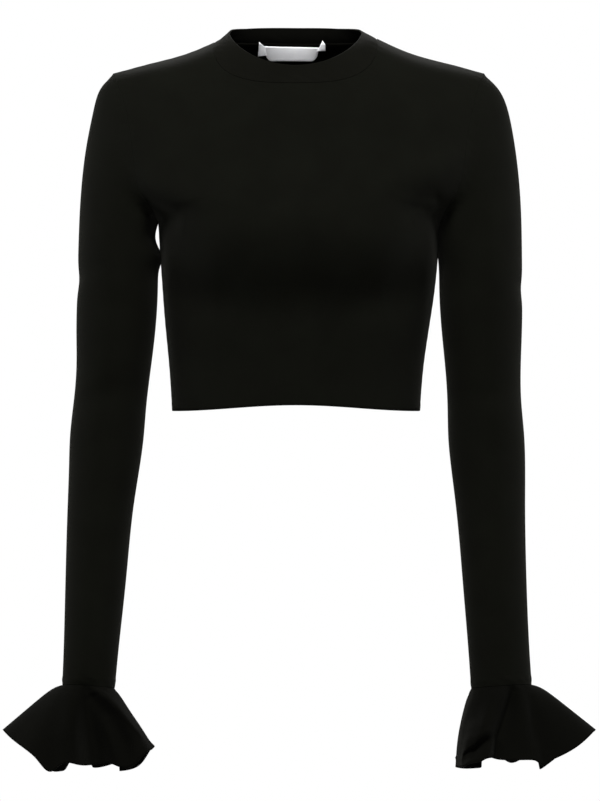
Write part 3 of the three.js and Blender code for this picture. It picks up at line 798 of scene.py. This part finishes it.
PANEL = {
    "look": BLACK_KNIT, "slot": "body_knit", "thickness": CLOTH, "grain": body_grain, "wraps": 0,
    "start": hem_row, "seam": panel_seams, "hem": panel_hem,
    "puff": 0.2, "roll": SEAM_ROLL, "lean": 0.0,
}
SLEEVE = {
    "look": BLACK_KNIT, "slot": "body_knit", "thickness": CLOTH, "grain": sleeve_grain,
    "wraps": 2 * math.pi * ARM_AROUND, "start": bottom_loop, "seam": whole_outline, "hem": None,
    "puff": 0.7, "roll": SEAM_ROLL, "lean": 0.0,
}
COLLAR = {
    "look": BAND_KNIT, "slot": "band_knit", "thickness": BAND, "grain": band_grain,
    "wraps": 2 * math.pi * NECK_RADIUS, "start": outer_loop, "seam": outer_loop, "hem": None,
    "puff": 0.0, "roll": SEAM_ROLL, "lean": -1.0,  # the lean closes the view through the seam
}
FRILL = {
    # the frill's darker knit is painted shade
    "look": FRILL_KNIT_SHADED, "slot": "frill_knit", "thickness": CLOTH, "grain": frill_grain,
    "wraps": 0, "start": top_loop, "seam": top_loop, "hem": None,
    "puff": 0.9, "roll": 0.0, "lean": 0.0,
}

front = cloth_piece("front", **PANEL)
back = cloth_piece("back", **PANEL)
sleeve_right = cloth_piece("sleeve_right", **SLEEVE)
sleeve_left = cloth_piece("sleeve_left", **SLEEVE)
neckband = cloth_piece("neckband", **COLLAR)
frill_right = cloth_piece("frill_right", **FRILL)
frill_left = cloth_piece("frill_left", **FRILL)


# Label: a satin strip with its two ends folded up and sewn to the neck seam

NECK_TREE = solid_tree("back", "neckband")


def on_neck(across, up, lift):
    """The place that far in front of the inside of the back neck, as the camera sees it."""
    way = (Vector((across, 0, up)) * MM - CAMERA_PLACE).normalized()
    middle = CAMERA_PLACE - way * (CAMERA_PLACE.y / way.y)
    hit = NECK_TREE.ray_cast(middle, way)[0]
    return hit - Vector((0, lift * MM, 0))


LABEL_BOW = 0.3  # how far its middle bows forward
LABEL_LEAN = 2.2  # how much farther forward the lower edge stands
ROUND_FROM = 0.78  # where the rounding starts, from the middle (0) to the end (1)
# corners as the camera sees them (across, up), clockwise from the upper left, steps across
# and down, lift off the back neck, and how much the lower corners are rounded
LABEL_PARTS = [
    ([(-34.5, -6.3), (20.5, -7.5), (18.2, -21.2), (-33.0, -21.2)], 40, 14, 2.4, 5.0),
    ([(-39.8, -2.0), (-33.6, -6.8), (-32.4, -15.6), (-41.2, -16.8)], 10, 14, 3.1, 0.0),
    ([(23.6, -0.4), (26.4, -4.6), (26.4, -10.8), (17.8, -11.4)], 10, 12, 3.0, 0.0),
]


def label_piece():
    bm = bmesh.new()
    for corners, across, down, lift, rounding in LABEL_PARTS:
        made = bmesh.ops.create_grid(bm, x_segments=across, y_segments=down, size=0.5)["verts"]
        a, b, c, d = (Vector((x, z)) for x, z in corners)
        for vertex in made:
            s = vertex.co.x + 0.5
            t = 0.5 - vertex.co.y
            flat = (a * (1 - s) + b * s) * (1 - t) + (d * (1 - s) + c * s) * t
            edge = abs(2 * s - 1)
            flat.y += rounding * t * (max(edge - ROUND_FROM, 0) / (1 - ROUND_FROM)) ** 2
            free = 1 - edge ** 4
            stand = LABEL_BOW * math.sin(math.pi * t) * free + LABEL_LEAN * t * free
            vertex.co = on_neck(flat.x, flat.y, lift + stand)
    mesh = bpy.data.meshes.new("neck_label_satin")
    bm.to_mesh(mesh)
    bm.free()
    obj = link(bpy.data.objects.new("neck_label_satin", mesh))
    obj.data.materials.append(WHITE_SATIN)
    for polygon in mesh.polygons:
        polygon.use_smooth = True
    thicken(obj, SATIN)
    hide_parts("neck_label")
    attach(obj, "root")
    return obj


label = label_piece()

# Camera, light and floor

camera = link(bpy.data.objects.new("camera", bpy.data.cameras.new("camera")))
camera.location = CAMERA_PLACE
camera.rotation_euler = (math.radians(90), 0, 0)
camera.data.lens = LENS
camera.data.sensor_width = SENSOR
camera.data.clip_end = 50
bpy.context.scene.camera = camera
bpy.context.scene.view_settings.view_transform = "Standard"

# the studio's white surround is seen at full strength and lights the cloth more softly
ROOM_LIGHT = 0.192
ROOM_SEEN = 1.0
world = bpy.data.worlds.new("white_room")
world.use_nodes = True
tree = world.node_tree
backdrop = tree.nodes["Background"]
backdrop.inputs["Color"].default_value = (1, 1, 1, 1)
seen = add_node(tree, "ShaderNodeLightPath").outputs["Is Camera Ray"]
strength = add_node(
    tree, "ShaderNodeMapRange", {"Value": seen, "To Min": ROOM_LIGHT, "To Max": ROOM_SEEN})
tree.links.new(strength.outputs["Result"], backdrop.inputs["Strength"])
bpy.context.scene.world = world


def soft_light(name, place, aim, width, height, watts):
    """A rectangular light. Its lengths are metres."""
    data = bpy.data.lights.new(name, "AREA")
    data.shape = "RECTANGLE"
    data.size = width
    data.size_y = height
    data.energy = watts
    obj = link(bpy.data.objects.new(name, data))
    obj.location = place
    obj.rotation_euler = (Vector(aim) - Vector(place)).to_track_quat("-Z", "Y").to_euler()


soft_light("key_light", (0.0, -1.9, 2.1), (0, 0, -0.3), 1.5, 0.8, 194)
soft_light("low_fill", (0.0, -2.8, -0.9), (0, 0, -0.4), 1.2, 0.6, 24)
soft_light("back_light", (0.0, 2.3, 1.9), (0, 0, -0.3), 1.6, 0.8, 96)
soft_light("left_edge_light", (1.9, 0.3, 0.15), (0, 0, -0.25), 0.6, 1.5, 24)
soft_light("right_edge_light", (-1.9, 0.3, 0.15), (0, 0, -0.25), 0.6, 1.5, 24)

FLOOR_RADIUS = 0.7
FLOOR_HEIGHT = -1.4

bm = bmesh.new()
bmesh.ops.create_circle(bm, cap_ends=True, segments=96, radius=FLOOR_RADIUS)
bmesh.ops.translate(bm, verts=bm.verts, vec=(0, 0, FLOOR_HEIGHT))
floor_mesh = bpy.data.meshes.new("floor")
bm.to_mesh(floor_mesh)
bm.free()
floor = link(bpy.data.objects.new("floor", floor_mesh))
floor_look, _, floor_shader = new_material("pale_floor")
floor_shader.inputs["Base Color"].default_value = linear("#f4f4f4")
floor_shader.inputs["Roughness"].default_value = 0.8
floor.data.materials.append(floor_look)
